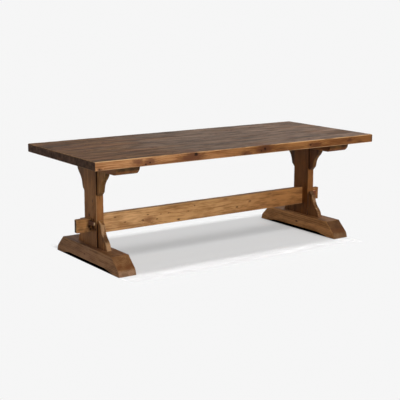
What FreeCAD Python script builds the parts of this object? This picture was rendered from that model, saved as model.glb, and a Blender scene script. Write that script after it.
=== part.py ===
import FreeCAD, Part

import math
import os
from types import SimpleNamespace

import Sketcher

# Trestle dining table: a top of long boards on two trestles, tied together by a stretcher
# whose tenons pass through the posts and are drawn tight by tapered keys.
# Millimetres. X runs along the table, Y from its front to its back and Z up.
# The origin is on the floor under the middle of the top.

driving_sizes = {
    # Top
    "table_length": 2308,
    "table_height": 762,
    "board_width": 136,
    "top_thickness": 57,
    "edge_ease": 3,
    "seam_ease": 0.8,
    "tongue_width": 28,
    "tongue_thickness": 10,
    "tongue_setback": 60,
    # Trestles
    "trestle_inset": 242,
    "trestle_ease": 2.5,
    # Feet
    "foot_length": 868,
    "foot_width": 130,
    "foot_height": 115,
    "pad_length": 85,
    "arch_rise": 18.5,
    "arch_run": 140,
    "toe_lean": 6,
    "toe_radius": 62,
    "bevel_inset": 29,
    "crown_inset": 94,
    # Posts
    "post_width": 165,
    "post_thickness": 56,
    "post_tenon_width": 115,
    "post_tenon_thickness": 28,
    "foot_tenon_depth": 70,
    "cleat_tenon_depth": 32,
    # Cleats
    "cleat_length": 840,
    "cleat_width": 170,
    "cleat_thickness": 57,
    "cleat_shift": 24.5,
    "cleat_nose": 40,
    # Brackets
    "bracket_height": 183,
    "bracket_reach": 119,
    "bracket_thickness": 34,
    "bracket_hollow": 125,
    "bracket_ease": 1.5,
    "dowel_diameter": 12,
    "dowel_length": 56,
    # Stretcher
    "stretcher_height": 128,
    "stretcher_thickness": 44,
    "stretcher_clearance": 196,
    "tenon_height": 90,
    "tenon_thickness": 30,
    "tenon_shoulder": 19,
    "tenon_reach": 113,
    "tenon_chamfer": 4,
    # Keys
    "key_head_reach": 80,
    "key_tip_reach": 70,
    "key_head_thickness": 36,
    "key_tip_thickness": 15,
    "key_head_height": 38,
    "key_tip_height": 23,
    "key_rise": 61,
    "key_relief": 5,
    "key_ease": 2.5,
    # Bolts that hold the top to the cleats
    "bolt_diameter": 8,
    "bolt_bite": 20,
    "bolt_head_radius": 7.5,
    "bolt_head_height": 5.3,
    "bolt_inset": 40,
    "slot_travel": 6,
    "washer_diameter": 22,
    "washer_thickness": 2,
    "counterbore_depth": 20,
    "counterbore_margin": 2,
    "insert_diameter": 12,
    "insert_length": 22,
    # Fits
    "joint_gap": 0.2,
    "key_gap": 0.3,
    "end_gap": 0.6,
    "cut_overrun": 5,
}

board_count = 7
bolt_flat_count = 6
bolt_place_shares = (-2, -1, 1, 2)
dowel_height_shares = (0.30, 0.70)
dowel_reach_share = 0.56
toe_height_share = 0.20
bevel_height_share = 0.47
bracket_outline_shares = {
    "lip": (0.885, 0.21),
    "throat_low": (0.735, 0.33),
    "throat_high": (0.41, 0.615),
    "neck": (0.32, 0.85),
    "nub": (0.08, 1.0),
}

doc = FreeCAD.newDocument("TrestleTable")
sheet = doc.addObject("Spreadsheet::Sheet", "Sizes")
for row, (alias, value) in enumerate(driving_sizes.items(), start=1):
    sheet.set(f"A{row}", alias)
    sheet.set(f"B{row}", str(value))
    sheet.setAlias(f"B{row}", alias)
doc.recompute()


class Length:
    """A size in millimetres with the formula that ties it to the sheet."""

    def __init__(self, value, formula):
        self.value = value
        self.formula = formula

    def __add__(self, other):
        return Length(self.value + other.value, f"({self.formula} + {other.formula})")

    def __sub__(self, other):
        return Length(self.value - other.value, f"({self.formula} - {other.formula})")

    def __neg__(self):
        return Length(-self.value, f"(-{self.formula})")

    def __mul__(self, factor):
        if isinstance(factor, Length):
            return Length(self.value * factor.value, f"({self.formula} * {factor.formula})")
        return Length(self.value * factor, f"({self.formula} * ({factor}))")

    def __truediv__(self, divisor):
        if isinstance(divisor, Length):
            return Length(self.value / divisor.value, f"({self.formula} / {divisor.formula})")
        return Length(self.value / divisor, f"({self.formula} / {divisor})")


zero = Length(0.0, "0")
size = SimpleNamespace(**{
    alias: Length(float(sheet.get(alias)), f"Sizes.{alias}") for alias in driving_sizes
})

# Heights and places that several pieces share
top_underside = size.table_height - size.top_thickness
cleat_underside = top_underside - size.cleat_thickness
trestle_reach = size.table_length / 2 - size.trestle_inset
post_face = size.post_thickness / 2
post_side = size.post_width / 2
bolt_place = size.cleat_shift + size.cleat_width / 2 - size.bolt_inset
bolt_reach = trestle_reach - bolt_place
bolt_seat = cleat_underside + size.counterbore_depth
tenon_bottom = size.stretcher_clearance + size.tenon_shoulder
key_middle = tenon_bottom + size.key_rise
half_dowel = size.dowel_length / 2
hole_radius = size.dowel_diameter / 2 + size.joint_gap
bracket_dowel_heights = [size.bracket_height * share for share in dowel_height_shares]
bracket_dowel_reach = size.bracket_reach * dowel_reach_share

sides = {"left": -1, "right": 1}
faces = {"front": -1, "back": 1}
along_x = FreeCAD.Vector(1, 0, 0)
along_y = FreeCAD.Vector(0, 1, 0)
along_z = FreeCAD.Vector(0, 0, 1)
half_turn = 180
quarter_turn = 90
same_place = 1e-6

table_parts = []


def new_body(name):
    """An empty body that becomes the sub-part of that name."""
    body = doc.addObject("PartDesign::Body", name)
    body.Label = name
    table_parts.append(body)
    return body


def put(part, x, y, z, turn=FreeCAD.Rotation()):
    """Places a part at lengths that follow the sheet."""
    part.Placement = FreeCAD.Placement(FreeCAD.Vector(x.value, y.value, z.value), turn)
    for axis, length in (("x", x), ("y", y), ("z", z)):
        part.setExpression(f"Placement.Base.{axis}", length.formula)


def put_in_trestle(part, side):
    """Stands a piece, drawn about the right-hand trestle's middle, at its end of the table.
    The left-hand trestle is the same one turned half round."""
    turn = FreeCAD.Rotation(along_z, 0 if side == "right" else half_turn)
    put(part, trestle_reach * sides[side], zero, zero, turn)


def new_sketch(body, name, plane, offset=zero):
    """A sketch on one of the body's own planes, moved along the plane's normal."""
    sketch = body.newObject("Sketcher::SketchObject", name)
    support = next(part for part in body.Origin.OriginFeatures if part.Role == plane)
    sketch.AttachmentSupport = (support, "")
    sketch.MapMode = "FlatFace"
    sketch.AttachmentOffset = FreeCAD.Placement(along_z * offset.value, FreeCAD.Rotation())
    sketch.setExpression("AttachmentOffset.Base.z", offset.formula)
    return sketch


def constrain(sketch, kind, length, *where):
    index = sketch.addConstraint(Sketcher.Constraint(kind, *where, length.value))
    sketch.setExpression(f"Constraints[{index}]", length.formula)


def corner(across, up, bend=None, hollow=False):
    """A corner of an outline. bend is the radius of the side that leaves it, if that is an arc."""
    return SimpleNamespace(across=across, up=up, bend=bend, hollow=hollow)


def arc_between(start, end, radius, hollow):
    """The arc of under a half circle from start to end, round or hollow for a walk
    that keeps the solid on its left."""
    chord = end - start
    lift = math.sqrt(radius ** 2 - (chord.Length / 2) ** 2)
    to_centre = FreeCAD.Vector(-chord.y, chord.x, 0).normalize() * (-lift if hollow else lift)
    centre = (start + end) / 2 + to_centre
    first, last = (end, start) if hollow else (start, end)
    angles = [math.atan2(point.y - centre.y, point.x - centre.x) for point in (first, last)]
    return Part.ArcOfCircle(Part.Circle(centre, along_z, radius), *angles)


def draw_outline(sketch, corners):
    """Adds one closed outline, walked with the solid on the left, with each corner tied to the sheet."""
    first = sketch.GeometryCount
    points = [FreeCAD.Vector(c.across.value, c.up.value, 0) for c in corners]
    begins, ends = [], []
    for number, this in enumerate(corners):
        start, end = points[number], points[(number + 1) % len(corners)]
        if this.bend:
            side = arc_between(start, end, this.bend.value, this.hollow)
        else:
            side = Part.LineSegment(start, end)
        index = sketch.addGeometry(side, False)
        runs_backwards = this.bend is not None and this.hollow
        begins.append((index, 2 if runs_backwards else 1))
        ends.append((index, 1 if runs_backwards else 2))
    for number, this in enumerate(corners):
        sketch.addConstraint(Sketcher.Constraint("Coincident", *ends[number - 1], *begins[number]))
        constrain(sketch, "DistanceX", this.across, -1, 1, *begins[number])
        constrain(sketch, "DistanceY", this.up, -1, 1, *begins[number])
        if this.bend:
            constrain(sketch, "Radius", this.bend, first + number)


def draw_rectangle(sketch, left, right, bottom, top):
    draw_outline(sketch, [
        corner(left, bottom), corner(right, bottom), corner(right, top), corner(left, top),
    ])


def draw_eased_rectangle(sketch, left, right, bottom, top, ease):
    """A rectangle with its corners cut off."""
    draw_outline(sketch, [
        corner(left + ease, bottom), corner(right - ease, bottom),
        corner(right, bottom + ease), corner(right, top - ease),
        corner(right - ease, top), corner(left + ease, top),
        corner(left, top - ease), corner(left, bottom + ease),
    ])


def draw_slot(sketch, across, up, half_width, half_travel):
    """A round-ended slot that runs up the sketch."""
    low, high = up - half_travel, up + half_travel
    left, right = across - half_width, across + half_width
    draw_outline(sketch, [
        corner(left, low, half_width), corner(across, low - half_width, half_width),
        corner(right, low), corner(right, high, half_width),
        corner(across, high + half_width, half_width), corner(left, high),
    ])


def draw_circle(sketch, across, up, radius):
    centre = FreeCAD.Vector(across.value, up.value, 0)
    index = sketch.addGeometry(Part.Circle(centre, along_z, radius.value), False)
    constrain(sketch, "DistanceX", across, -1, 1, index, 3)
    constrain(sketch, "DistanceY", up, -1, 1, index, 3)
    constrain(sketch, "Radius", radius, index)


def mirrored(half):
    """A whole outline from its right-hand half, walked from the bottom to the top."""
    whole = list(half)
    for number in reversed(range(len(half))):
        bend, hollow = None, False
        if number:
            bend, hollow = half[number - 1].bend, half[number - 1].hollow
        whole.append(corner(-half[number].across, half[number].up, bend, hollow))
    return whole


def extrude(body, kind, name, sketch, depth, symmetric=False, back=False):
    """A pad or pocket from the sketch. back turns it to the sketch's other side."""
    feature = body.newObject(f"PartDesign::{kind}", name)
    feature.Profile = sketch
    feature.SideType = "Symmetric" if symmetric else "One side"
    feature.Reversed = back
    feature.setExpression("Length", depth.formula)
    return feature


def chamfer(body, base, name, width, chosen):
    """Cuts the edges of base for which chosen says yes."""
    doc.recompute()
    edges = [f"Edge{n}" for n, edge in enumerate(base.Shape.Edges, start=1) if chosen(edge.BoundBox)]
    feature = body.newObject("PartDesign::Chamfer", name)
    feature.Base = (base, edges)
    feature.setExpression("Size", width.formula)
    return feature


def on_either(box, first, second):
    """Whether an edge lies wholly in one of two planes across X."""
    return box.XLength < same_place and min(abs(box.XMin - first), abs(box.XMin - second)) < same_place


def solid(kind, name, **lengths):
    """A primitive whose sizes follow the sheet."""
    part = doc.addObject(kind, name)
    for key, length in lengths.items():
        part.setExpression(key, length.formula)
    return part


def pair(kind, name, base, tool):
    joined = doc.addObject(kind, name)
    joined.Base = base
    joined.Tool = tool
    return joined


def group(name, members):
    """A sub-part of several like pieces."""
    together = doc.addObject("Part::Compound", name)
    together.Label = name
    together.Links = members
    table_parts.append(together)


def top_board(number):
    """One long board of the top, grooved for the loose tongues that line it up with its neighbours."""
    place = number - board_count // 2
    has_front, has_back = number > 0, number < board_count - 1
    half = size.board_width / 2
    thick = size.top_thickness
    board = new_body(f"top_board_{number + 1}")
    put(board, zero, size.board_width * place, top_underside)

    section = new_sketch(board, f"board_section_{number}", "YZ_Plane")
    front_ease = size.seam_ease if has_front else size.edge_ease
    back_ease = size.seam_ease if has_back else size.edge_ease
    draw_outline(section, [
        corner(front_ease - half, zero), corner(half - back_ease, zero),
        corner(half, back_ease), corner(half, thick - back_ease),
        corner(half - back_ease, thick), corner(front_ease - half, thick),
        corner(-half, thick - front_ease), corner(-half, front_ease),
    ])
    blank = extrude(board, "Pad", f"board_blank_{number}", section, size.table_length, symmetric=True)

    half_length = size.table_length / 2
    end = half_length.value
    chamfer(board, blank, f"board_ends_{number}", size.edge_ease,
            lambda box: on_either(box, -end, end) and box.ZLength < same_place)

    groove_end = half_length - size.tongue_setback + size.end_gap
    groove_half = size.tongue_thickness / 2 + size.joint_gap
    for face, present in (("front", has_front), ("back", has_back)):
        if present:
            groove = new_sketch(board, f"groove_{face}_{number}", "XZ_Plane", half * -faces[face])
            draw_rectangle(groove, -groove_end, groove_end, thick / 2 - groove_half, thick / 2 + groove_half)
            extrude(board, "Pocket", f"groove_cut_{face}_{number}", groove,
                    size.tongue_width / 2 + size.joint_gap, back=face == "back")

    if place in bolt_place_shares:
        holes = new_sketch(board, f"insert_holes_{number}", "XY_Plane")
        for reach in (-bolt_reach, bolt_reach):
            draw_circle(holes, reach, zero, size.insert_diameter / 2 + size.joint_gap)
        depth = size.insert_length + size.end_gap
        extrude(board, "Pocket", f"insert_bores_{number}", holes, depth, back=True)


def top_tongues():
    """Loose tongues across the seams, stopped short of the ends so that none shows."""
    tongues = []
    for seam in range(board_count - 1):
        tongue = solid("Part::Box", f"tongue_{seam}", Width=size.tongue_width, Height=size.tongue_thickness,
                       Length=size.table_length - size.tongue_setback * 2)
        middle = size.board_width * (seam + 1 - board_count / 2)
        put(tongue, size.tongue_setback - size.table_length / 2, middle - size.tongue_width / 2,
            top_underside + size.top_thickness / 2 - size.tongue_thickness / 2)
        tongues.append(tongue)
    group("top_tongues", tongues)


def foot(side):
    """A sledge foot: bevelled toes, a pad under each end and a shallow arch between the pads."""
    part = new_body(f"foot_{side}")
    put_in_trestle(part, side)
    half = size.foot_length / 2
    pad_inner = half - size.pad_length
    run, rise = size.arch_run, size.arch_rise
    arch_radius = (run * run + rise * rise) / (rise * 2)
    profile = new_sketch(part, f"foot_profile_{side}", "YZ_Plane")
    draw_outline(profile, mirrored([
        corner(pad_inner - run, rise, arch_radius, hollow=True),
        corner(pad_inner, zero),
        corner(half, zero),
        corner(half - size.toe_lean, size.foot_height * toe_height_share, size.toe_radius),
        corner(half - size.bevel_inset, size.foot_height * bevel_height_share),
        corner(half - size.crown_inset, size.foot_height),
    ]))
    blank = extrude(part, "Pad", f"foot_blank_{side}", profile, size.foot_width, symmetric=True)
    flank = size.foot_width.value / 2
    chamfer(part, blank, f"foot_arris_{side}", size.trestle_ease, lambda box: on_either(box, -flank, flank))

    mortise = new_sketch(part, f"foot_mortise_{side}", "XY_Plane", size.foot_height)
    post_tenon_hole(mortise)
    extrude(part, "Pocket", f"foot_socket_{side}", mortise, size.foot_tenon_depth + size.end_gap)

    holes = new_sketch(part, f"foot_dowel_holes_{side}", "XY_Plane", size.foot_height)
    bracket_holes(holes)
    extrude(part, "Pocket", f"foot_dowel_bores_{side}", holes, half_dowel + size.end_gap)


def post_tenon_hole(sketch):
    """The mortise that takes a post's stub tenon."""
    half_thickness = size.post_tenon_thickness / 2 + size.joint_gap
    half_width = size.post_tenon_width / 2 + size.joint_gap
    draw_rectangle(sketch, -half_thickness, half_thickness, -half_width, half_width)


def bracket_holes(sketch):
    """Holes for the upright dowel of the brackets in front of and behind a post."""
    for sign in faces.values():
        draw_circle(sketch, zero, (post_side + bracket_dowel_reach) * sign, hole_radius)


def post(side):
    """An upright plank with stub tenons in foot and cleat, and a through mortise for the stretcher."""
    part = new_body(f"post_{side}")
    put_in_trestle(part, side)
    section = new_sketch(part, f"post_section_{side}", "XY_Plane", size.foot_height)
    draw_eased_rectangle(section, -post_face, post_face, -post_side, post_side, size.trestle_ease)
    extrude(part, "Pad", f"post_shaft_{side}", section, cleat_underside - size.foot_height)

    half_thickness, half_width = size.post_tenon_thickness / 2, size.post_tenon_width / 2
    for end, level, depth in (("foot", size.foot_height, size.foot_tenon_depth),
                              ("cleat", cleat_underside, size.cleat_tenon_depth)):
        stub = new_sketch(part, f"{end}_tenon_{side}", "XY_Plane", level)
        draw_rectangle(stub, -half_thickness, half_thickness, -half_width, half_width)
        extrude(part, "Pad", f"{end}_stub_{side}", stub, depth, back=end == "foot")

    mortise = new_sketch(part, f"stretcher_mortise_{side}", "YZ_Plane")
    half_slot = size.tenon_thickness / 2 + size.joint_gap
    draw_rectangle(mortise, -half_slot, half_slot,
                   tenon_bottom - size.joint_gap, tenon_bottom + size.tenon_height + size.joint_gap)
    extrude(part, "Pocket", f"stretcher_slot_{side}", mortise,
            size.post_thickness + size.cut_overrun * 2, symmetric=True)

    for face, sign in faces.items():
        holes = new_sketch(part, f"post_dowel_holes_{face}_{side}", "XZ_Plane", post_side * -sign)
        for height in bracket_dowel_heights:
            draw_circle(holes, zero, size.foot_height + height, hole_radius)
            draw_circle(holes, zero, cleat_underside - height, hole_radius)
        extrude(part, "Pocket", f"post_dowel_bores_{face}_{side}", holes, half_dowel + size.end_gap,
                back=face == "back")


def cleat(side):
    """The bearer under the top, set inwards of the post, with round-nosed ends and slotted bolt holes."""
    part = new_body(f"cleat_{side}")
    put_in_trestle(part, side)
    half = size.cleat_length / 2
    nose, thick = size.cleat_nose, size.cleat_thickness
    nose_radius = (nose * nose + thick * thick) / (nose * 2)
    profile = new_sketch(part, f"cleat_profile_{side}", "YZ_Plane", -size.cleat_shift)
    draw_outline(profile, mirrored([
        corner(half - nose, cleat_underside, nose_radius),
        corner(half, top_underside),
    ]))
    blank = extrude(part, "Pad", f"cleat_blank_{side}", profile, size.cleat_width, symmetric=True)
    inner = -(size.cleat_shift + size.cleat_width / 2).value
    outer = (size.cleat_width / 2 - size.cleat_shift).value
    highest = top_underside.value - same_place
    chamfer(part, blank, f"cleat_arris_{side}", size.trestle_ease,
            lambda box: on_either(box, inner, outer) and box.ZMin < highest)

    mortise = new_sketch(part, f"cleat_mortise_{side}", "XY_Plane", cleat_underside)
    post_tenon_hole(mortise)
    extrude(part, "Pocket", f"cleat_socket_{side}", mortise, size.cleat_tenon_depth + size.end_gap, back=True)

    holes = new_sketch(part, f"cleat_dowel_holes_{side}", "XY_Plane", cleat_underside)
    bracket_holes(holes)
    extrude(part, "Pocket", f"cleat_dowel_bores_{side}", holes, half_dowel + size.end_gap, back=True)

    shank_half = size.bolt_diameter / 2 + size.joint_gap
    washer_half = size.washer_diameter / 2 + size.counterbore_margin
    for use, half_width, depth in (("shank", shank_half, thick + size.cut_overrun),
                                   ("washer", washer_half, size.counterbore_depth)):
        slots = new_sketch(part, f"{use}_slots_{side}", "XY_Plane", cleat_underside)
        for place in bolt_place_shares:
            draw_slot(slots, -bolt_place, size.board_width * place, half_width, size.slot_travel / 2)
        extrude(part, "Pocket", f"{use}_cut_{side}", slots, depth, back=True)


def bracket(level, side, face):
    """A curved bracket in the corner between a post and its foot or cleat."""
    part = new_body(f"{level}_bracket_{side}_{face}")
    tag = f"{level}_{side}_{face}"
    profile = new_sketch(part, f"bracket_profile_{tag}", "YZ_Plane")
    points = {
        name: (size.bracket_reach * reach_share, size.bracket_height * height_share)
        for name, (reach_share, height_share) in bracket_outline_shares.items()
    }
    draw_outline(profile, [
        corner(zero, zero),
        corner(size.bracket_reach, zero),
        corner(*points["lip"]),
        corner(*points["throat_low"], size.bracket_hollow, hollow=True),
        corner(*points["throat_high"]),
        corner(*points["neck"]),
        corner(*points["nub"]),
        corner(zero, size.bracket_height),
    ])
    blank = extrude(part, "Pad", f"bracket_blank_{tag}", profile, size.bracket_thickness, symmetric=True)

    cheek = size.bracket_thickness.value / 2
    chamfer(part, blank, f"bracket_arris_{tag}", size.bracket_ease,
            lambda box: on_either(box, -cheek, cheek) and min(box.YMax, box.ZMax) > same_place)

    level_holes = new_sketch(part, f"level_holes_{tag}", "XZ_Plane")
    for height in bracket_dowel_heights:
        draw_circle(level_holes, zero, height, hole_radius)
    extrude(part, "Pocket", f"level_bores_{tag}", level_holes, half_dowel + size.end_gap)
    upright_hole = new_sketch(part, f"upright_hole_{tag}", "XY_Plane")
    draw_circle(upright_hole, zero, bracket_dowel_reach, hole_radius)
    extrude(part, "Pocket", f"upright_bore_{tag}", upright_hole, half_dowel + size.end_gap, back=True)

    turns = {
        ("lower", "back"): FreeCAD.Rotation(),
        ("lower", "front"): FreeCAD.Rotation(along_z, half_turn),
        ("upper", "back"): FreeCAD.Rotation(along_y, half_turn),
        ("upper", "front"): FreeCAD.Rotation(along_x, half_turn),
    }
    seat = size.foot_height if level == "lower" else cleat_underside
    put(part, trestle_reach * sides[side], post_side * faces[face], seat, turns[level, face])


def bracket_dowels(side):
    """Two level dowels from each bracket into the post, and an upright one into the foot or cleat."""
    dowels = []
    x = trestle_reach * sides[side]
    to_back = FreeCAD.Rotation(along_x, -quarter_turn)
    for face, sign in faces.items():
        for seat, up in ((size.foot_height, 1), (cleat_underside, -1)):
            places = [(post_side * sign - half_dowel, seat + height * up, to_back)
                      for height in bracket_dowel_heights]
            upright = (post_side + bracket_dowel_reach) * sign
            places.append((upright, seat - half_dowel, FreeCAD.Rotation()))
            for y, z, turn in places:
                dowel = solid("Part::Cylinder", f"dowel_{side}_{len(dowels)}",
                              Radius=size.dowel_diameter / 2, Height=size.dowel_length)
                put(dowel, x, y, z, turn)
                dowels.append(dowel)
    group(f"bracket_dowels_{side}", dowels)


def key_section(along):
    """The key's thickness and height at a place along it, from its head at the front
    of the right-hand trestle to its tip."""
    progress = (along + size.key_head_reach) / (size.key_head_reach + size.key_tip_reach)
    thickness = size.key_head_thickness - (size.key_head_thickness - size.key_tip_thickness) * progress
    height = size.key_head_height - (size.key_head_height - size.key_tip_height) * progress
    return thickness, height


def stretcher():
    """The rail between the trestles. A tapered hole through each tenon takes a key."""
    part = new_body("stretcher")
    half_thickness = size.stretcher_thickness / 2
    top = size.stretcher_clearance + size.stretcher_height
    section = new_sketch(part, "stretcher_section", "YZ_Plane")
    draw_eased_rectangle(section, -half_thickness, half_thickness,
                         size.stretcher_clearance, top, size.trestle_ease)
    between_posts = (trestle_reach - post_face) * 2
    extrude(part, "Pad", "stretcher_rail", section, between_posts, symmetric=True)

    tenon_end = trestle_reach + post_face + size.tenon_reach
    tenon = new_sketch(part, "tenon_section", "YZ_Plane")
    draw_rectangle(tenon, -size.tenon_thickness / 2, size.tenon_thickness / 2,
                   tenon_bottom, tenon_bottom + size.tenon_height)
    tenons = extrude(part, "Pad", "tenons", tenon, tenon_end * 2, symmetric=True)
    chamfer(part, tenons, "tenon_ends", size.tenon_chamfer,
            lambda box: on_either(box, -tenon_end.value, tenon_end.value))

    outer_face = trestle_reach + post_face
    cut_half = size.tenon_thickness / 2 + size.cut_overrun
    mouths = []
    for name, along in (("key_hole_front", -cut_half), ("key_hole_back", cut_half)):
        mouth = new_sketch(part, name, "XZ_Plane", -along)
        thickness, height = key_section(along)
        half_height = height / 2 + size.key_gap
        draw_rectangle(mouth, outer_face - size.key_relief, outer_face + thickness + size.key_gap * 2,
                       key_middle - half_height, key_middle + half_height)
        mouths.append(mouth)
    hole = part.newObject("PartDesign::SubtractiveLoft", "key_hole")
    hole.Profile, hole.Sections = mouths[0], mouths[1:]
    hole.Ruled = True
    doc.recompute()
    both = part.newObject("PartDesign::PolarPattern", "key_holes")
    both.Originals = [hole]
    both.Axis = (next(axis for axis in part.Origin.OriginFeatures if axis.Role == "Z_Axis"), [""])
    both.Angle = half_turn * 2
    both.Occurrences = len(sides)
    part.Tip = both


def key(side):
    """A tapered key driven along the post's outer face, which draws the stretcher's shoulder tight."""
    part = new_body(f"key_{side}")
    put_in_trestle(part, side)
    inner = post_face + size.key_gap
    head, tip = -size.key_head_reach, size.key_tip_reach
    plan = new_sketch(part, f"key_plan_{side}", "XY_Plane", key_middle)
    draw_outline(plan, [
        corner(inner, head), corner(inner + size.key_head_thickness, head),
        corner(inner + size.key_tip_thickness, tip), corner(inner, tip),
    ])
    extrude(part, "Pad", f"key_blank_{side}", plan, size.key_head_height, symmetric=True)

    waste = new_sketch(part, f"key_waste_{side}", "YZ_Plane", post_face)
    head_half, tip_half = size.key_head_height / 2, size.key_tip_height / 2
    clear_half = head_half + size.cut_overrun
    draw_outline(waste, [
        corner(head, key_middle + head_half), corner(tip, key_middle + tip_half),
        corner(tip, key_middle + clear_half),
    ])
    draw_outline(waste, [
        corner(head, key_middle - head_half), corner(tip, key_middle - clear_half),
        corner(tip, key_middle - tip_half),
    ])
    depth = size.key_head_thickness + size.cut_overrun
    taper = extrude(part, "Pocket", f"key_taper_{side}", waste, depth, back=True)
    chamfer(part, taper, f"key_arris_{side}", size.key_ease, lambda box: True)


def top_fasteners():
    """Bolts with washers in the cleats' slots, and the threaded inserts that they screw into."""
    bolts, washers, inserts = [], [], []
    shank_length = top_underside - bolt_seat + size.washer_thickness + size.bolt_bite
    under_washer = bolt_seat - size.washer_thickness
    for side, sign in sides.items():
        for place in bolt_place_shares:
            tag = f"{side}_{len(bolts)}"
            x, y = bolt_reach * sign, size.board_width * place
            shank = solid("Part::Cylinder", f"shank_{tag}", Radius=size.bolt_diameter / 2,
                          Height=shank_length)
            put(shank, x, y, under_washer)
            head = solid("Part::Prism", f"head_{tag}", Circumradius=size.bolt_head_radius,
                         Height=size.bolt_head_height)
            head.Polygon = bolt_flat_count
            put(head, x, y, under_washer - size.bolt_head_height)
            bolts.append(pair("Part::Fuse", f"bolt_{tag}", head, shank))

            bore = size.bolt_diameter / 2 + size.joint_gap
            disc = solid("Part::Cylinder", f"disc_{tag}", Radius=size.washer_diameter / 2,
                         Height=size.washer_thickness)
            put(disc, x, y, under_washer)
            disc_bore = solid("Part::Cylinder", f"disc_bore_{tag}", Radius=bore,
                              Height=size.washer_thickness + size.cut_overrun * 2)
            put(disc_bore, x, y, under_washer - size.cut_overrun)
            washers.append(pair("Part::Cut", f"washer_{tag}", disc, disc_bore))

            sleeve = solid("Part::Cylinder", f"sleeve_{tag}", Radius=size.insert_diameter / 2,
                           Height=size.insert_length)
            put(sleeve, x, y, top_underside)
            sleeve_bore = solid("Part::Cylinder", f"sleeve_bore_{tag}", Radius=bore,
                                Height=size.insert_length + size.cut_overrun * 2)
            put(sleeve_bore, x, y, top_underside - size.cut_overrun)
            inserts.append(pair("Part::Cut", f"insert_{tag}", sleeve, sleeve_bore))
    group("top_bolts", bolts)
    group("bolt_washers", washers)
    group("threaded_inserts", inserts)


def check():
    """Stops if a feature failed, a cut took nothing away or a sub-part isn't a sound solid."""
    for item in doc.Objects:
        if "Invalid" in item.State or "Error" in item.State:
            raise RuntimeError(f"{item.Name} failed: {item.State}")
    cutters = [f"PartDesign::{kind}" for kind in ("Pocket", "SubtractiveLoft", "Chamfer", "PolarPattern")]
    for item in doc.Objects:
        if item.TypeId in cutters and item.Shape.Volume >= item.BaseFeature.Shape.Volume:
            raise RuntimeError(f"{item.Name} took nothing away")
    for part in table_parts:
        if part.Shape.isNull() or not part.Shape.isValid() or not part.Shape.Solids:
            raise RuntimeError(f"{part.Label} isn't a sound solid")


for number in range(board_count):
    top_board(number)
top_tongues()
for side in sides:
    foot(side)
    post(side)
    cleat(side)
    for level in ("lower", "upper"):
        for face in faces:
            bracket(level, side, face)
    bracket_dowels(side)
    key(side)
stretcher()
top_fasteners()

doc.recompute()
check()
os.makedirs("parts", exist_ok=True)
for part in table_parts:
    part.Shape.exportStep(f"parts/{part.Label}.step")
    print(part.Label, len(part.Shape.Solids), round(part.Shape.Volume / 1000), "cm3")
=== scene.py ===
import math
import random

import bmesh
import bpy
from mathutils import Euler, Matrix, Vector, noise


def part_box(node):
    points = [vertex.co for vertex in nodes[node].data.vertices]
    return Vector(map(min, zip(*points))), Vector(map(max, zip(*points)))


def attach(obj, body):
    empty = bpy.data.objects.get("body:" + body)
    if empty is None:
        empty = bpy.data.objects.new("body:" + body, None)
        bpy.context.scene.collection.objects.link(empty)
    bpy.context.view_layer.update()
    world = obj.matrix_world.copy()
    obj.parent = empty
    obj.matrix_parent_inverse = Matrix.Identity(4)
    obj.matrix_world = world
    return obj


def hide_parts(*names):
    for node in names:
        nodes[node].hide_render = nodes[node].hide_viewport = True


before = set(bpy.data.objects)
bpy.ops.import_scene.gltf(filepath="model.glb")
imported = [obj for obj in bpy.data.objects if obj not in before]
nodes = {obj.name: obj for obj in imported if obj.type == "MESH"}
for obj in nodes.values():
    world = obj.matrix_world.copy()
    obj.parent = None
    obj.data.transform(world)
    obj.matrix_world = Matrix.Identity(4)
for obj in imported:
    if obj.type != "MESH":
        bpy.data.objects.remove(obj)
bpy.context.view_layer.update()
mm = 0.001
rightward, forward, up = (1, 0, 0), (0, 1, 0), (0, 0, 1)
black = (0, 0, 0, 1)
print("frame loaded:", len(nodes), "nodes")


# Shader sums

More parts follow.
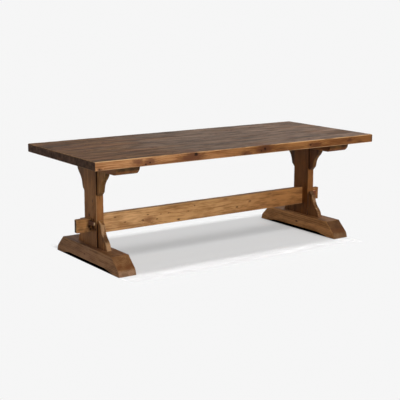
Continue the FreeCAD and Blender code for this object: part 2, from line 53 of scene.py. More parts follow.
class Socket:    # a shader socket that can stand in a Python sum
    def __init__(self, tree, link=None):
        self.tree = tree
        self.link = link

    def make(self, kind, settings, inputs, output=0):    # any node: its settings first, then its sockets
        node = self.tree.nodes.new("ShaderNode" + kind)
        for key, value in settings.items():
            setattr(node, key, value)
        for key, value in inputs.items():
            if isinstance(value, Socket):
                self.tree.links.new(value.link, node.inputs[key])
            else:
                node.inputs[key].default_value = value
        return Socket(self.tree, node.outputs[output]) if node.outputs else None

    def math(self, operation, first, second=0.0):
        return self.make("Math", {"operation": operation}, {0: first, 1: second})

    def __add__(self, other):
        return self.math("ADD", self, other)

    def __sub__(self, other):
        return self.math("SUBTRACT", self, other)

    def __rsub__(self, other):
        return self.math("SUBTRACT", other, self)

    def __mul__(self, other):
        return self.math("MULTIPLY", self, other)

    def __truediv__(self, other):
        return self.math("DIVIDE", self, other)

    def __rtruediv__(self, other):
        return self.math("DIVIDE", other, self)

    def __pow__(self, other):
        return self.math("POWER", self, other)

    def __rpow__(self, other):
        return self.math("POWER", other, self)

    __radd__ = __add__
    __rmul__ = __mul__

    def fade(self, start, end):    # 0 before start, 1 after end, eased between
        return self.make("MapRange", {"interpolation_type": "SMOOTHSTEP"},
                         {"Value": self, "From Min": start, "From Max": end})

    def mix(self, first, second, blend="MIX"):    # self is the share of the second colour
        return self.make("Mix", {"data_type": "RGBA", "blend_type": blend}, {0: self, 6: first, 7: second}, 2)

    def vector(self, operation, other, output=0):
        return self.make("VectorMath", {"operation": operation}, {0: self, 1: other}, output)

    def scale(self, factor):    # a colour or vector times a value
        return self.make("VectorMath", {"operation": "SCALE"}, {0: self, "Scale": factor})

    def axis(self, index):    # one of a vector's three values
        return self.make("SeparateXYZ", {}, {0: self}, index)

    def towards(self, way):    # how far a direction points one way, -1 to 1
        return self.vector("DOT_PRODUCT", way, 1)

    def either(self, way):    # that way or the opposite one, 0 to 1
        return self.math("ABSOLUTE", self.towards(way))

    def speckle(self, stretch, seed, detail=2.0, rough=0.5, output=0):    # noise drawn out along the axes
        return self.make("TexNoise", {"noise_dimensions": "4D"},
                         {"Vector": self.vector("MULTIPLY", stretch), "W": seed, "Scale": 1.0,
                          "Detail": detail, "Roughness": rough}, output)


def newFinish(name):
    material = bpy.data.materials.new(name)
    material.use_nodes = True
    material.node_tree.nodes.clear()
    return material, Socket(material.node_tree)


def finishSurface(socket, shader):
    socket.make("OutputMaterial", {}, {"Surface": shader})


def addToScene(name, data):
    thing = bpy.data.objects.new(name, data)
    bpy.context.scene.collection.objects.link(thing)
    return thing


# Stained pine

grainTurns = {"x": (0, 0, 0), "y": (0, 0, -math.pi / 2), "z": (0, math.pi / 2, 0)}
grainAxes = {"x": rightward, "y": forward, "z": up}
grainNoises = {    # each noise's seed step, detail and roughness; a look holds its scale
    "sway": (0.0, 1.0, 0.5), "streak": (7.3, 3.0, 0.55), "blotch": (11.9, 3.0, 0.6),
    "fibre": (17.7, 2.0, 0.6), "fleck": (23.3, 1.0, 0.5), "dash": (29.1, 2.0, 0.5),
    "grey": (31.0, 2.0, 0.5), "ragged": (37.0, 2.0, 0.5), "knock": (41.0, 2.0, 0.5),
    "warm": (43.0, 2.0, 0.5), "marks": (47.0, 2.0, 0.5),
}
fades = {    # where each part of the finish starts and is full
    "fleck": (0.63, 0.74), "dash": (0.50, 0.68), "late": (0.2, 0.85), "yearEnd": (0.88, 1.0),
    "warm": (0.45, 0.62), "greyLeft": (-1.15, 0.0), "greyRight": (0.6, 1.15), "edge": (0.55, 0.9),
    "slant": (0.45, 0.62), "end": (0.78, 0.92), "halo": (0.5, 1.9), "upShade": (0.75, 0.95),
    "faceShade": (0.5, 0.9), "outward": (0.25, 0.6), "rubbed": (0.2, 0.8), "knock": (0.50, 0.60),
    "broad": (0.6, 0.8), "grime": (0.3, 1.25), "whole": (0.0, 1.0),
}


def knotReach(grain, knots, stretch):    # how many knot radii away the nearest knot's rod is
    nearest = None
    for along, across, depth, radius, rod in knots:
        offset = grain.vector("SUBTRACT", (along, across, depth)).vector("MULTIPLY", (stretch, 1, 1))
        reach = offset.vector("CROSS_PRODUCT", rod).vector("LENGTH", (0, 0, 0), 1) / radius
        nearest = reach if nearest is None else grain.math("MINIMUM", nearest, reach)
    return nearest


def woodFinish(name, look, centre, seed, knots=(), patches=()):
    material, wood = newFinish(name)
    draw = random.Random(seed)
    place = wood.make("TexCoord", {}, {}, "Object")
    facing = wood.make("TexCoord", {}, {}, "Normal")
    turn = Euler(grainTurns[look["grain"]])
    grain = wood.make("Mapping", {}, {"Vector": place, "Rotation": turn,
                                      "Location": -(turn.to_matrix() @ centre)})

    def grainNoise(kind, output=0):
        step, detail, rough = grainNoises[kind]
        return grain.speckle(look[kind + "Scale"], seed + step, detail, rough, output)

    streaks, blotches, fibres, ragged = (
        grainNoise(kind) - 0.5 for kind in ("streak", "blotch", "fibre", "ragged"))
    flecks = grainNoise("fleck").fade(*fades["fleck"])
    dashes = grainNoise("dash").fade(*fades["dash"])

    # Growth rings about a pith that lies outside the piece and runs a little askew
    sway = grainNoise("sway", 1).vector("SUBTRACT", (0.5, 0.5, 0.5))
    swayed = grain.vector("ADD", sway.scale(look["sway"]))
    along, across, depth = (swayed.axis(index) for index in range(3))
    pithSide, pithDepth = look["pith"]
    across = across - draw.uniform(-1, 1) * pithSide - along * draw.uniform(-1, 1) * look["pithSlope"]
    depth = depth + draw.choice((-1, 1)) * pithDepth - along * draw.uniform(-1, 1) * look["pithSlope"]
    ringRadius = (across * across + depth * depth) ** 0.5
    if knots:    # rings swell round a knot
        nearKnot = knotReach(grain, knots, look["knotStretch"]) + blotches + ragged * 2.0
        nearHalo = knotReach(grain, list(knots) + list(patches), look["haloStretch"])
        nearHalo = nearHalo + streaks * 2.0 + blotches * 2.0 + ragged * 1.5
        ringRadius = ringRadius + look["knotPush"] * math.e ** (nearHalo * nearHalo * -0.25)
    year = wood.math("FRACT", ringRadius / look["ringGap"] + streaks * 1.5)
    late = year.fade(*fades["late"]) * (1 - year.fade(*fades["yearEnd"])) * (blotches * 1.6 + 0.8)

    # Stain, from pale to dark by the grain's tone
    tone = late * look["ringDark"] + streaks * look["streak"] + blotches * look["blotch"]
    tone = tone + fibres * look["fibre"] + dashes * look["dash"] + look["depth"]
    if "marks" in look:    # broad dark marks
        tone = tone + (grainNoise("marks") - 0.5) * look["marks"]
    tone = tone.fade(*fades["whole"])
    colour = tone.mix(look["pale"], look["dark"])
    if "warm" in look:    # redder in patches
        mottle = grainNoise("warm").fade(*fades["warm"]) * look["warmShare"]
        colour = mottle.mix(colour, tone.mix(look["warm"], look["warmDark"]))
    if "sheenGrey" in look:    # the top is greyer, least at its left-hand end: greying and a painted sheen
        greyed = (grainNoise("grey") - 0.5) * 2.5 + along.fade(*fades["greyLeft"]) * 1.25
        greyed = greyed - along.fade(*fades["greyRight"]) * 0.2 - 0.3
        greyed = greyed.fade(*fades["whole"]) * look["sheenGreyShare"]
        colour = greyed.mix(colour, tone.mix(look["sheenGrey"], look["sheenGreyDark"]))
        # painted sheen: lighter towards the right-hand end
        colour = along.fade(*look["sheenSpan"]).mix(colour, look["sheenTint"], "MULTIPLY")
    edgeFace = 1.0
    if "edge" in look:    # sawn edges took the stain paler and redder than the faces
        edgeFace = facing.either(forward).fade(*fades["edge"])
        colour = edgeFace.mix(colour, tone.mix(look["edge"], look["edgeDark"]))
        brinkLow, brinkHigh, brinkShare = look["brink"]    # and are paler below the upper arris, as wear and a painted highlight
        brink = grain.axis(2).fade(brinkLow, brinkHigh)
        brink = brink * edgeFace * (streaks * 2 + blotches + 0.7).fade(*fades["whole"])
        colour = (brink * brinkShare).mix(colour, look["rubbed"])
    colour = (flecks * look["fleck"]).mix(colour, look["knot"])

    # Cuts across the grain drank more stain
    cross = facing.either(grainAxes[look["grain"]])
    endTone = (late * 0.5 + blotches * 2.4 + 0.35).fade(*fades["whole"])
    if "slant" in look:
        colour = cross.fade(*fades["slant"]).mix(colour, endTone.mix(look["slant"], look["slantDark"]))
    colour = cross.fade(*fades["end"]).mix(colour, endTone.mix(look["end"], look["endDark"]))
    if "band" in look:    # a darker line where the slant meets the upright end
        band = look["band"]
        level = place.axis(2) + streaks * band["sway"]
        line = level.fade(band["low"] - band["below"], band["low"])
        line = line * (1 - level.fade(band["high"], band["high"] + band["above"]))
        colour = (line * cross.fade(*fades["slant"]) * (blotches * 2 + 0.6)).mix(colour, band["colour"])
    if knots:
        colour = ((1 - nearHalo.fade(*fades["halo"])) * look["haloShare"]).mix(colour, look["halo"])
        colour = (1 - nearKnot.fade(*look["knotFade"])).mix(colour, look["knot"])

    # Painted light and shade that differ by place and by face
    for driftStart, driftEnd, tint in look["drifts"]:    # along the piece, darker or lighter; on the top's edges and the stretcher this is painted falloff of light and painted shadow
        colour = (along.fade(driftStart, driftEnd) * edgeFace).mix(colour, tint, "MULTIPLY")
    if "upShade" in look:    # painted shade: what faces up is darker, as the feet's tops under the top
        colour = facing.towards(up).fade(*fades["upShade"]).mix(colour, look["upShade"], "MULTIPLY")
    if "faceShade" in look:    # painted shade: one face darker
        shadeWay, shadeTint = look["faceShade"]
        colour = facing.towards(shadeWay).fade(*fades["faceShade"]).mix(colour, shadeTint, "MULTIPLY")
    outward = facing.either(forward).fade(*fades["outward"])
    if "fronts" in look:    # painted shade, darker on what faces the table's front and back
        colour = outward.mix(colour, look["fronts"], "MULTIPLY")

    # Arrises rubbed pale
    worn = wood.make("Attribute", {"attribute_name": "wear"}, {}, 2)
    if "rim" in look:    # only the outer arrises of the top, least at its ends; wear and a painted highlight
        rim = look["rim"]
        outer = place.vector("ABSOLUTE", (0, 0, 0))
        outerEnd = outer.axis(0).fade(rim["along"] - rim["width"], rim["along"]) * rim["ends"]
        outerSide = outer.axis(1).fade(rim["across"] - rim["width"], rim["across"])
        worn = worn * wood.math("MAXIMUM", outerEnd, outerSide)
    rubbed = worn * (streaks * 2 + blotches * 2 + 0.6).fade(*fades["rubbed"]) * look["wear"]
    colour = rubbed.mix(colour, look["rubbed"])
    if "scuff" in look:    # the curved edges are knocked pale in places
        knocks = grainNoise("knock").fade(*fades["knock"])
        colour = (outward * knocks * look["scuff"]).mix(colour, look["rubbed"])

    # Painted shade
    if "corners" in look:    # painted shade in the corners beside the brackets, where the brackets keep the light off
        corners = look["corners"]
        level = place.axis(2)
        aside = wood.math("ABSOLUTE", place.vector("SUBTRACT", tuple(centre)).axis(0))
        beside = aside.fade(corners["half"] - corners["soft"], corners["half"] + corners["soft"])
        above = level.fade(corners["lowTop"] - corners["lowSoft"], corners["lowTop"])
        below = 1 - level.fade(corners["highFoot"], corners["highFoot"] + corners["highSoft"])
        broad = facing.either(forward).fade(*fades["broad"])
        colour = (beside * (1 - above * below) * broad * corners["share"]).mix(colour, look["grime"])
    if "under" in look:    # painted shade: darker close under the top, in its shadow
        underLow, underHigh, underTint = look["under"]
        colour = place.axis(2).fade(underLow, underHigh).mix(colour, underTint, "MULTIPLY")
    for spotX, spotY, spotZ, spotRadius, spotShare in look["grimes"]:    # painted shadow: dark spots about the keys and on the lower front brackets
        reach = place.vector("DISTANCE", (spotX, spotY, spotZ), 1) / spotRadius + ragged * 0.8
        colour = ((1 - reach.fade(*fades["grime"])) * spotShare).mix(colour, look["grime"])

    height = late * -0.5 + fibres * 0.35 - flecks * 0.5 + blotches * 0.4
    bump = wood.make("Bump", {}, {"Strength": look["bump"], "Distance": look["bumpDepth"], "Height": height})
    rough = fibres * 0.25 + blotches * 0.3 + look["rough"]
    shader = wood.make("BsdfPrincipled", {}, {"Base Color": colour, "Roughness": rough, "Normal": bump,
                                              "Specular IOR Level": look["gloss"]})
    finishSurface(wood, shader)
    return material


# Wooden pieces

mesher = {    # lengths in metres, angles in degrees
    "merge": 0.01 * mm, "flat": 1.0, "cut": 0.05 * mm, "crease": 40.0,
    "arrisLow": 28.0, "arrisHigh": 62.0, "arrisWidth": 4.5 * mm, "leastChamfer": 1.8 * mm,
    "round": 0.27, "segments": 2, "sharp": 9.0, "seedShift": (3.7, 1.3, 2.1),
}


def bend(edge):
    return math.degrees(edge.calc_face_angle(0))


def roundArrises(bm):    # the CAD chamfers get rounded edges
    chosen = []
    for edge in bm.edges:
        width = min(face.calc_area() for face in edge.link_faces) / edge.calc_length()
        if mesher["arrisLow"] < bend(edge) < mesher["arrisHigh"] and width > mesher["leastChamfer"]:
            chosen.append((width, edge))
    if chosen:
        offset = min(width for width, edge in chosen) * mesher["round"]
        bmesh.ops.bevel(bm, geom=[edge for width, edge in chosen], offset=offset, offset_type="OFFSET",
                        affect="EDGES", segments=mesher["segments"], profile=0.5, material=-1,
                        clamp_overlap=True)


def sliceUp(bm, low, high, gaps):    # cuts across each axis, so that faces can ripple
    for axis, gap in enumerate(gaps):
        count = round((high[axis] - low[axis]) / gap)
        normal = Vector((axis == 0, axis == 1, axis == 2))
        for cut in range(1, count):
            spot = low.lerp(high, cut / count)
            bmesh.ops.bisect_plane(bm, geom=bm.verts[:] + bm.edges[:] + bm.faces[:], dist=mesher["cut"],
                                   plane_co=spot, plane_no=normal)


def weather(bm, look, seed):    # marks the arrises as worn, chips them and ripples the faces
    wear = bm.loops.layers.float.new("wear")
    bm.normal_update()
    bends = {edge: bend(edge) for edge in bm.edges}
    for face in bm.faces:
        width = face.calc_area() / max(edge.calc_length() for edge in face.edges)
        if width < mesher["arrisWidth"] and max(bends[edge] for edge in face.edges) > mesher["sharp"]:
            for corner in face.loops:
                corner[wear] = 1.0
    shift = Vector([seed * part for part in mesher["seedShift"]])
    moves = []
    for vert in bm.verts:
        sharpest = max(bends[edge] for edge in vert.link_edges)
        if mesher["sharp"] < sharpest < mesher["arrisHigh"]:
            moves.append((vert, -look["chip"] * max(0.0, noise.noise(vert.co * look["chipScale"] + shift))))
        elif sharpest <= mesher["sharp"]:
            moves.append((vert, look["ripple"] * noise.noise(vert.co * look["rippleScale"] + shift)))
    for vert, move in moves:
        vert.co += vert.normal * move


def woodPiece(nodeName, look, seed, body="table", knots=(), patches=()):
    low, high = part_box(nodeName)
    bm = bmesh.new()
    bm.from_mesh(nodes[nodeName].data)
    bmesh.ops.remove_doubles(bm, verts=bm.verts, dist=mesher["merge"])
    bmesh.ops.dissolve_limit(bm, angle_limit=math.radians(mesher["flat"]),
                             verts=bm.verts[:], edges=bm.edges[:])
    roundArrises(bm)
    sliceUp(bm, low, high, look["slices"])
    weather(bm, look, seed)
    for face in bm.faces:
        face.smooth = True
    for edge in bm.edges:
        edge.smooth = bend(edge) < mesher["crease"]
    mesh = bpy.data.meshes.new(nodeName + "_wood")
    bm.to_mesh(mesh)
    bm.free()
    piece = addToScene(nodeName + "_wood", mesh)
    even = piece.modifiers.new("even shading", "WEIGHTED_NORMAL")
    even.keep_sharp = True
    mesh.materials.append(woodFinish(nodeName + " finish", look, (low + high) / 2, seed, knots, patches))
    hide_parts(nodeName)
    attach(piece, body)


commonLook = {    # scales are per metre, along the grain first
    "streakScale": (1.6, 34, 34), "blotchScale": (5, 14, 14), "fibreScale": (14, 420, 420),
    "fleckScale": (15, 120, 120), "dashScale": (9, 60, 60), "raggedScale": (45, 110, 110),
    "swayScale": (1.4, 6, 6), "knockScale": (14, 30, 30),
    "ringGap": 9 * mm, "pith": (40 * mm, 75 * mm), "pithSlope": 0.03, "sway": 22 * mm,
    "ringDark": 0.45, "streak": 1.6, "blotch": 1.5, "fibre": 0.8, "dash": 0.2, "fleck": 0.4, "depth": 0.28,
    "knotStretch": 0.75, "knotFade": (0.6, 1.1), "knotPush": 16 * mm, "haloStretch": 0.4, "haloShare": 0.6,
    "pale": (0.290, 0.126, 0.040, 1), "dark": (0.135, 0.054, 0.016, 1),
    "end": (0.200, 0.105, 0.055, 1), "endDark": (0.080, 0.038, 0.018, 1),
    "knot": (0.022, 0.009, 0.005, 1), "halo": (0.120, 0.038, 0.017, 1),
    "rubbed": (0.44, 0.260, 0.130, 1), "grime": (0.026, 0.0055, 0.001, 1),
    "wear": 0.45, "drifts": (), "grimes": (), "rough": 0.6, "gloss": 0.1, "bump": 0.5, "bumpDepth": 0.6 * mm,
    "chip": 1.2 * mm, "chipScale": 22.0, "ripple": 0.25 * mm, "rippleScale": 9.0,
}
retintedKeys = ("pale", "dark", "end", "endDark", "slant", "slantDark", "edge", "edgeDark",
               "sheenGrey", "sheenGreyDark", "warm", "warmDark", "rubbed")


def retinted(look, red, green, blue):    # the same look with its colours shifted, for stain and for painted light and shade
    return {key: (value[0] * red, value[1] * green, value[2] * blue, 1) if key in retintedKeys else value
            for key, value in look.items()}


# The top's boards

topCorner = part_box("top_board_7")[1]    # the back board's far corner is the top's
boardLook = dict(
    commonLook, grain="x", slices=(14 * mm, 17 * mm, 19 * mm),
    streakScale=(3.2, 60, 60), blotchScale=(9, 28, 28), fleckScale=(8, 38, 38), dashScale=(3.5, 28, 28),
    marksScale=(2.8, 14, 14), warmScale=(5, 20, 20), greyScale=(2.5, 9, 9),
    ringDark=0.6, streak=1.6, blotch=0.7, dash=0.4, fleck=0.5, marks=2.2, depth=0.20,
    pale=(0.130, 0.061, 0.021, 1), dark=(0.038, 0.017, 0.006, 1),
    warm=(0.150, 0.063, 0.026, 1), warmDark=(0.046, 0.018, 0.008, 1), warmShare=0.6,
    sheenGrey=(0.168, 0.113, 0.080, 1), sheenGreyDark=(0.050, 0.034, 0.025, 1), sheenGreyShare=0.78,
    sheenSpan=(-0.1, 0.8), sheenTint=(1.26, 1.25, 1.26, 1),
    edge=(0.43, 0.212, 0.088, 1), edgeDark=(0.210, 0.083, 0.030, 1),
    end=(0.080, 0.040, 0.022, 1), endDark=(0.026, 0.012, 0.006, 1),
    halo=(0.120, 0.046, 0.024, 1), haloShare=0.85, rubbed=(0.62, 0.37, 0.18, 1),
    brink=(20 * mm, 25 * mm, 0.6), wear=0.7, gloss=0.05,
    rim={"along": topCorner.x - 7 * mm, "across": topCorner.y - 7 * mm, "width": 5 * mm, "ends": 0.35},
    # painted falloff of light on the edges, darker to the right; the last one is painted shade over a glint
    # at the right-hand end
    drifts=((-1.1, 0.3, (0.57, 0.49, 0.36, 1)), (0.7, 1.1, (0.84, 0.80, 0.76, 1)),
            (1.135, 1.152, (0.50, 0.46, 0.42, 1))),
)
boardSet = {
    "shades": (1.0, 0.93, 1.06, 0.97, 1.08, 0.92, 1.02), "seed": 10, "knotSeed": 40, "knotRadii": (6, 14),
}
topKnots = {    # board: along it in metres, across it in millimetres
    1: ((0.62, 20),), 2: ((0.547, 10), (-0.076, -53)), 3: ((0.452, 60), (-0.55, -20)),
    4: ((-0.007, 11), (-0.991, -41)), 5: ((-1.106, -49), (0.2, 30)),
    6: ((0.417, 3), (0.636, 52), (-0.7, -30)), 7: ((-0.35, 12), (0.85, -25)),
}
frontMarks = {    # on the front edge: along it in metres, above its middle and radius in millimetres
    "knots": ((-0.418, 15, 11.0), (-0.797, -16, 7.0), (-0.765, -9, 4.5), (0.150, 3, 7.5),
              (0.118, -9, 5.0), (0.557, -4, 6.0), (-1.125, -21, 5.0), (-0.020, -18, 6.0)),
    "patches": ((-0.445, -4, 24.0), (-0.850, 0, 15.0), (-0.770, -2, 16.0), (0.140, 0, 22.0),
                (0.600, -8, 20.0), (-0.010, -17, 14.0), (0.930, 4, 9.0)),
}


def frontRods(marks, middle=0.0):    # knots that run from front to back
    return [(along, 0, height * mm - middle, radius * mm, forward) for along, height, radius in marks]


for number, shade in enumerate(boardSet["shades"], start=1):
    boardDraw = random.Random(boardSet["knotSeed"] + number)
    knots = [(along, across * mm, 0, boardDraw.uniform(*boardSet["knotRadii"]) * mm, up)
             for along, across in topKnots[number]]
    patches = []
    if number == 1:
        knots += frontRods(frontMarks["knots"])
        patches = frontRods(frontMarks["patches"])
    woodPiece(f"top_board_{number}", retinted(boardLook, shade, shade, shade), boardSet["seed"] + number,
              knots=knots, patches=patches)
print("top:", len(boardSet["shades"]), "boards")

# The trestles; spots of painted shadow have a place, a radius and a share

footLook = dict(
    commonLook, grain="y", slices=(19 * mm, 14 * mm, 19 * mm), blotchScale=(9, 22, 22), streak=2.0, wear=0.15,
    pale=(0.310, 0.155, 0.072, 1), dark=(0.150, 0.068, 0.028, 1), upShade=(0.80, 0.74, 0.68, 1),
    slant=(0.215, 0.103, 0.044, 1), slantDark=(0.120, 0.050, 0.018, 1),
    end=(0.222, 0.123, 0.070, 1), endDark=(0.125, 0.061, 0.029, 1),
    band={"low": 46 * mm, "high": 58 * mm, "below": 14 * mm, "above": 16 * mm, "sway": 20 * mm,
          "colour": (0.110, 0.038, 0.011, 1)},
    drifts=((0.08, 0.30, (0.88, 0.86, 0.77, 1)), (-0.05, -0.20, (1.10, 1.10, 1.03, 1))),
)
footLooks = {
    "left": footLook,
    # painted light: the right foot is made lighter, its top and outer face painted darker again, so its inner
    # face reads lit
    "right": dict(retinted(footLook, 1.95, 1.88, 1.55), upShade=(0.52, 0.48, 0.42, 1), drifts=(),
                  slant=(0.120, 0.053, 0.018, 1), slantDark=(0.075, 0.030, 0.010, 1),
                  end=(0.160, 0.078, 0.030, 1), endDark=(0.092, 0.041, 0.015, 1),
                  faceShade=((1, 0, 0), (0.50, 0.50, 0.56, 1))),
}
lowerLow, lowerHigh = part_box("lower_bracket_left_front")
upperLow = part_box("upper_bracket_left_front")[0]
postLook = dict(
    commonLook, grain="z", slices=(19 * mm, 19 * mm, 14 * mm), ringDark=0.25, streak=0.9,
    under=(0.53, 0.69, (0.65, 0.70, 0.94, 1)), drifts=((-0.08, -0.15, (0.80, 0.79, 0.80, 1)),),
    corners={"half": (lowerHigh.x - lowerLow.x) / 2, "lowTop": lowerHigh.z, "highFoot": upperLow.z,
             "soft": 1 * mm, "lowSoft": 30 * mm, "highSoft": 12 * mm, "share": 0.95},
)
postLooks = {
    "left": dict(retinted(postLook, 0.95, 0.95, 0.95), fronts=(0.90, 0.84, 0.76, 1),
                 under=(0.53, 0.69, (0.76, 0.82, 1.12, 1)),
                 # painted shadow about the left key and its tenon
                 grimes=((-0.940, -0.012, 0.297, 0.013, 0.95), (-0.940, -0.042, 0.299, 0.011, 0.95),
                         (-0.940, -0.034, 0.248, 0.026, 0.95), (-0.940, -0.066, 0.238, 0.013, 0.95))),
    "right": dict(retinted(postLook, 0.76, 0.625, 0.435), fronts=(0.96, 0.97, 0.86, 1),
                  faceShade=((-1, 0, 0), (0.89, 0.88, 0.82, 1))),
}
cleatLook = dict(
    commonLook, grain="y", slices=(19 * mm, 14 * mm, 19 * mm), under=(0.54, 0.70, (0.74, 0.67, 0.69, 1)),
    end=(0.150, 0.088, 0.032, 1), endDark=(0.036, 0.016, 0.007, 1),
)
cleatLooks = {"left": retinted(cleatLook, 0.97, 0.97, 0.97), "right": retinted(cleatLook, 0.94, 0.78, 0.48)}
lowerLook = dict(
    commonLook, grain="z", slices=(12 * mm, 12 * mm, 12 * mm), wear=0.6, scuff=0.5,
    under=postLook["under"], fronts=(0.74, 0.76, 0.80, 1),
)
upperLook = dict(lowerLook, wear=0.15, scuff=0.0, fronts=(0.58, 0.60, 0.60, 1))
lowerShadedLook = dict(lowerLook, grime=(0.050, 0.021, 0.008, 1))    # the lower front brackets, whose painted shade is browner
shadedLook = dict(upperLook, under=(0.58, 0.70, (0.80, 0.86, 0.94, 1)))    # the upper front ones
bracketLooks = {    # in the order of their seeds
    "left": {
        ("lower", "front"): dict(lowerShadedLook, grimes=((-0.912, -0.158, 0.188, 0.036, 0.8),)),
        ("lower", "back"): lowerLook,
        # painted light on its side and painted shade on its front
        ("upper", "front"): dict(retinted(shadedLook, 1.104, 1.203, 1.26), fronts=(0.50, 0.50, 0.45, 1)),
        # painted shade: darker in the top's shadow
        ("upper", "back"): retinted(upperLook, 0.62, 0.66, 0.78),
    },
    "right": {
        ("lower", "front"): dict(retinted(lowerShadedLook, 0.77, 0.73, 0.70),
                                 grimes=((0.930, -0.146, 0.200, 0.022, 0.75),
                                         (0.912, -0.100, 0.292, 0.040, 0.6))),
        ("lower", "back"): retinted(lowerLook, 0.77, 0.73, 0.70),
        ("upper", "front"): dict(retinted(shadedLook, 0.545, 0.474, 0.595), fronts=(0.82, 0.90, 0.60, 1)),
        ("upper", "back"): retinted(upperLook, 0.477, 0.482, 0.546),
    },
}
keyLook = dict(
    commonLook, grain="y", slices=(12 * mm, 8 * mm, 12 * mm), chip=0.5 * mm, ripple=0.1 * mm, wear=0.25,
    pale=(0.135, 0.060, 0.036, 1), dark=(0.057, 0.024, 0.014, 1),
)
keyLooks = {    # the left one's end is painted pale, a painted highlight
    "left": dict(keyLook, end=(0.44, 0.30, 0.16, 1), endDark=(0.24, 0.14, 0.08, 1)),
    "right": dict(keyLook, end=(0.168, 0.050, 0.017, 1), endDark=(0.090, 0.026, 0.009, 1)),
}
trestleSet = {    # knots: how many, how far along and across the piece, and which way they run
    "seeds": {"left": 30, "right": 50}, "knotRadii": (3.5, 7),
    "footKnots": (1, 0.33, 0.05, forward), "postKnots": (2, 0.2, 0.06, up), "cleatKnots": (2, 0.3, 0.06, up),
}


def drawnKnots(draw, count, reach, across, rod):
    return [(draw.uniform(-reach, reach), draw.uniform(-across, across), 0,
             draw.uniform(*trestleSet["knotRadii"]) * mm, rod) for _ in range(count)]


for side, seed in trestleSet["seeds"].items():
    knotDraw = random.Random(seed)
    woodPiece(f"foot_{side}", footLooks[side], seed,
              knots=drawnKnots(knotDraw, *trestleSet["footKnots"]))
    woodPiece(f"post_{side}", postLooks[side], seed + 1,
              knots=drawnKnots(knotDraw, *trestleSet["postKnots"]))
    woodPiece(f"cleat_{side}", cleatLooks[side], seed + 2,
              knots=drawnKnots(knotDraw, *trestleSet["cleatKnots"]))
    for bracketSeed, ((level, face), look) in enumerate(bracketLooks[side].items(), start=seed + 3):
        woodPiece(f"{level}_bracket_{side}_{face}", look, bracketSeed)
    woodPiece(f"key_{side}", keyLooks[side], seed + 9, body=f"{side}_key")
    print("trestle:", side)

# The stretcher

stretcherLook = dict(
    commonLook, grain="x", slices=(14 * mm, 22 * mm, 16 * mm),
    streakScale=(4, 95, 95), marksScale=(12, 22, 22),
    ringDark=0.4, streak=1.8, blotch=1.6, dash=0.35, fleck=0.5, marks=0.8, depth=0.26,
    knotStretch=0.45, knotFade=(0.4, 1.3),
    pale=(0.55, 0.308, 0.132, 1), dark=(0.275, 0.132, 0.048, 1),
    halo=(0.180, 0.070, 0.030, 1), knot=(0.070, 0.028, 0.013, 1),
    end=(0.100, 0.052, 0.025, 1), endDark=(0.040, 0.020, 0.010, 1),
    # painted falloff of light, darker to the right, and painted shadow beside the left post
    drifts=((-0.65, -0.30, (0.845, 0.805, 0.723, 1)), (0.0, 0.75, (0.646, 0.523, 0.39, 1)),
            (-0.94, -0.985, (0.62, 0.53, 0.43, 1)), (-0.985, -1.01, (0.90, 0.89, 0.85, 1))),
    # painted shadow of the left key and tenon
    grimes=((-0.958, -0.015, 0.251, 0.015, 0.95), (-0.948, -0.015, 0.232, 0.011, 0.95),
            (-1.020, -0.022, 0.240, 0.022, 0.35), (-0.985, -0.022, 0.216, 0.018, 0.45),
            (-1.030, -0.022, 0.290, 0.014, 0.3)),
)
stretcherMarks = {    # along it in metres, above the floor and radius in millimetres
    "knots": ((-0.547, 243, 5.0), (-0.507, 277, 3.5), (-0.490, 230, 3.0), (-0.433, 237, 3.5),
              (-0.400, 268, 2.5), (-0.338, 269, 3.0), (-0.253, 213, 4.0), (-0.172, 261, 3.0),
              (-0.118, 296, 3.0), (0.259, 240, 4.0), (0.378, 271, 4.0), (-0.688, 248, 4.0),
              (-0.765, 292, 3.0)),
    "patches": ((-0.500, 243, 15.0), (0.500, 230, 10.0)),
}
stretcherSeed = 75
stretcherLow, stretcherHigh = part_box("stretcher")
stretcherMiddle = (stretcherLow.z + stretcherHigh.z) / 2
woodPiece("stretcher", stretcherLook, stretcherSeed,
          knots=frontRods(stretcherMarks["knots"], stretcherMiddle),
          patches=frontRods(stretcherMarks["patches"], stretcherMiddle))
print("stretcher")

# Hidden pieces and metal

metalSet = {"brushScale": (900, 900, 120), "brushSeed": 3.0, "brushRough": 0.2,
            "stainScale": (160, 160, 160), "stainSeed": 5.0, "stainShade": 0.6}
hiddenSet = {"centre": Vector((0, 0, 0.4)), "seed": 90}


def metalFinish(name, colour, rough):
    material, metal = newFinish(name)
    place = metal.make("TexCoord", {}, {}, "Object")
    brushed = place.speckle(metalSet["brushScale"], metalSet["brushSeed"])
    stains = place.speckle(metalSet["stainScale"], metalSet["stainSeed"])
    shade = stains.mix(colour, tuple(metalSet["stainShade"] * part for part in colour[:3]) + (1,))
    shader = metal.make("BsdfPrincipled", {}, {"Base Color": shade, "Metallic": 1.0,
                                              "Roughness": brushed * metalSet["brushRough"] + rough})
    finishSurface(metal, shader)
    return material


hiddenWood = woodFinish("hidden wood", postLook, hiddenSet["centre"], hiddenSet["seed"])
hardware = {
    "top_bolts": metalFinish("bolt steel", (0.42, 0.42, 0.43, 1), 0.3),
    "bolt_washers": metalFinish("washer steel", (0.50, 0.50, 0.51, 1), 0.35),
    "threaded_inserts": metalFinish("insert brass", (0.62, 0.43, 0.17, 1), 0.3),
    "top_tongues": hiddenWood, "bracket_dowels_left": hiddenWood, "bracket_dowels_right": hiddenWood,
}
for nodeName, material in hardware.items():
    nodes[nodeName].data.materials.clear()
    nodes[nodeName].data.materials.append(material)
print("hidden pieces and metal")


# Floor

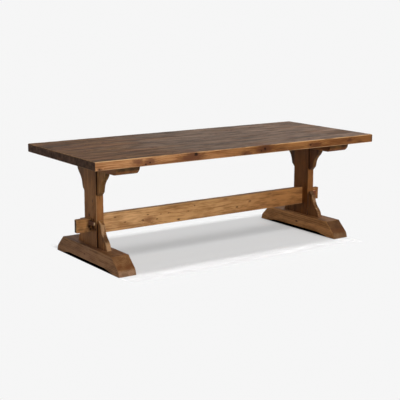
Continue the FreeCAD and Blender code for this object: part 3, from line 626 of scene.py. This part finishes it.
floorSet = {
    "size": 400.0, "seen": (0.33, 0.33, 0.33, 1), "bounce": (0.65, 0.65, 0.65, 1),
    "lift": (0.198, 0.198, 0.198, 1), "pale": (0.92, 0.92, 0.92, 1),
    "beyond": (0.95, 0.98), "away": (0.47, 0.62), "corner": 0.05, "cornerFade": (0.3, 0.55),
    "footSoft": 4 * mm, "toeSoft": 8 * mm,
}


def seenDirectly(socket):    # 1 where the camera, a reflection or a clear surface looks
    camera, glossy, clear = (socket.make("LightPath", {}, {}, f"Is {kind} Ray")
                             for kind in ("Camera", "Glossy", "Transmission"))
    return camera + glossy + clear


bm = bmesh.new()
bmesh.ops.create_circle(bm, cap_ends=True, segments=3, radius=floorSet["size"])    # one triangle, so no seam
floorMesh = bpy.data.meshes.new("floor")
bm.to_mesh(floorMesh)
bm.free()
floor = addToScene("floor", floorMesh)
floorMaterial, paper = newFinish("floor paper")
seen = seenDirectly(paper)
# painted shade: the floor's glow fades where things close it in, as beside the feet
openness = paper.make("AmbientOcclusion", {}, {"Distance": floorSet["corner"]}, 1)
openness = openness.fade(*floorSet["cornerFade"])
spot = paper.make("TexCoord", {}, {}, "Object").vector("ABSOLUTE", (0, 0, 0))
spotAlong, spotAcross = spot.axis(0), spot.axis(1)
nearby = (1 - spotAlong.fade(*floorSet["beyond"])) * (1 - spotAcross.fade(*floorSet["away"]))
beyond = 1 - nearby    # there the paper glows
footLow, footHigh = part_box("foot_right")
pastInner = spotAlong.fade(footLow.x - floorSet["footSoft"], footLow.x + floorSet["footSoft"])
pastOuter = spotAlong.fade(footHigh.x - floorSet["footSoft"], footHigh.x + floorSet["footSoft"])
pastToe = spotAcross.fade(footHigh.y - floorSet["toeSoft"], footHigh.y)
covered = pastInner * (1 - pastOuter) * (1 - pastToe)    # painted shadow: under the feet the floor is black
lift = (seen * openness * (1 - covered)).mix(black, beyond.mix(floorSet["lift"], floorSet["pale"]))
seenColour = (1 - (1 - beyond) * (1 - covered)).mix(floorSet["seen"], black)
finishSurface(paper, paper.make("BsdfPrincipled", {}, {
    "Base Color": seen.mix(floorSet["bounce"], seenColour), "Roughness": 1.0, "Specular IOR Level": 0.0,
    "Emission Color": lift, "Emission Strength": 1.0}))
floorMesh.materials.append(floorMaterial)

# Light

skySet = {
    "fill": (0.25, 0.25, 0.255, 1), "pale": floorSet["pale"],
    "frontGlow": (0.60, 0.60, 0.60, 1), "front": (0.42, -0.85, 0.30), "frontFade": (0.0, 1.0),
    "backGlow": (0.95, 0.95, 0.95, 1), "back": (0.17, 0.985, 0.0), "backFade": (0.2, 1.0),
}
suns = {    # what each lights, and which pieces shade it if not all do
    "key": {"strength": 2.25, "spread": 24.0, "turn": 25.0, "height": 16.0,
            "lights": "object", "shades": "clear"},
    "overhead": {"strength": 1.1, "spread": 6.0, "turn": -55.0, "height": 84.0},
    "floorOverhead": {"strength": 1.29, "spread": 6.0, "turn": -55.0, "height": 84.0, "lights": "floor"},
    "floorLow": {"strength": 3.7, "spread": 50.0, "turn": 0.0, "height": 68.0,
                 "lights": "floor", "shades": "low"},
    "side": {"strength": 0.28, "spread": 20.0, "turn": -75.0, "height": 7.0, "lights": "object"},
    "back": {"strength": 0.8, "spread": 30.0, "turn": 114.0, "height": 8.0, "lights": "object"},
}

world = bpy.data.worlds.new("studio")
bpy.context.scene.world = world
world.use_nodes = True
world.node_tree.nodes.clear()
sky = Socket(world.node_tree)
direction = sky.make("TexCoord", {}, {}, "Generated")
towardsFront = direction.towards(skySet["front"]).fade(*skySet["frontFade"])
towardsBack = direction.towards(skySet["back"]).fade(*skySet["backFade"])
glow = towardsBack.mix(towardsFront.mix(skySet["fill"], skySet["frontGlow"]), skySet["backGlow"])
skyColour = seenDirectly(sky).mix(glow, skySet["pale"])
sky.make("OutputWorld", {}, {"Surface": sky.make("Background", {}, {"Color": skyColour, "Strength": 1.0})})


def lightGroup(name, things, state):
    group = bpy.data.collections.new(name)
    for thing in things:
        group.objects.link(thing)
    for member in group.collection_objects:
        member.light_linking.link_state = state
    return group


def woodObjects(*nodeNames):
    return [bpy.data.objects[nodeName + "_wood"] for nodeName in nodeNames]


lowPieces = woodObjects("stretcher", "foot_left", "foot_right")    # these shade the floor softly
clearPieces = woodObjects("post_right", "lower_bracket_right_front")    # its end stays clear of these
lightGroups = {
    "object": lightGroup("all but the floor", [floor], "EXCLUDE"),
    "floor": lightGroup("the floor alone", [floor], "INCLUDE"),
    "low": lightGroup("pieces near the floor", lowPieces, "INCLUDE"),
    "clear": lightGroup("pieces that cast no key shadow", clearPieces, "EXCLUDE"),
}
for sunName, sun in suns.items():
    lamp = bpy.data.lights.new(sunName, "SUN")
    lamp.energy = sun["strength"]
    lamp.angle = math.radians(sun["spread"])
    lampObject = addToScene(sunName, lamp)
    lampObject.rotation_euler = (math.radians(90 - sun["height"]), 0, math.radians(sun["turn"]))
    if "lights" in sun:
        lampObject.light_linking.receiver_collection = lightGroups[sun["lights"]]
    if "shades" in sun:
        lampObject.light_linking.blocker_collection = lightGroups[sun["shades"]]
    if sun.get("lights") == "floor":    # no light from it reaches the object by way of the floor
        lamp.cycles.max_bounces = 0

# Camera

cameraSet = {"place": (-3.885, -5.537, 1.704), "tilt": 78.42, "roll": -0.17, "turn": -34.63,
             "lens": 86.58, "sensor": 36.0}
camera = bpy.data.cameras.new("camera")
camera.lens = cameraSet["lens"]
camera.sensor_width = cameraSet["sensor"]
cameraObject = addToScene("camera", camera)
cameraObject.location = cameraSet["place"]
cameraObject.rotation_euler = [math.radians(cameraSet[key]) for key in ("tilt", "roll", "turn")]
bpy.context.scene.camera = cameraObject
bpy.context.scene.view_settings.view_transform = "Standard"
print("floor, light and camera")
